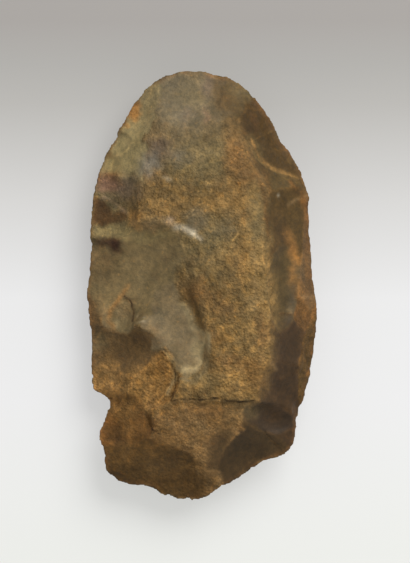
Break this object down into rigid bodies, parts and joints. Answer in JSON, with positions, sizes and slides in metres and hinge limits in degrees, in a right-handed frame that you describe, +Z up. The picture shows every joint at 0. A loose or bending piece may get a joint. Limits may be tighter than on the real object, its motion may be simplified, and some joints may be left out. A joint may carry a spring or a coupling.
{
  "type": "flint axe",
  "caption": "Flint axe head knapped on both faces, with a broad rounded cutting end, an off-centre ridge and a stepped, broken butt.",
  "frame": {"origin": "under the middle of the box around the stone, on the surface that it lies on", "axes": "+Y along the stone to its broad cutting end, +Z up through the ridge, +X to the steep side"},
  "size_m": [0.0858, 0.1602, 0.036],
  "materials": {
    "flint": "ochre and olive patinated flint, satin in the flake scars and dull on the granular crust"
  },
  "bodies": {
    "root": {"flint_axe": "flint"}
  },
  "joints": []
}
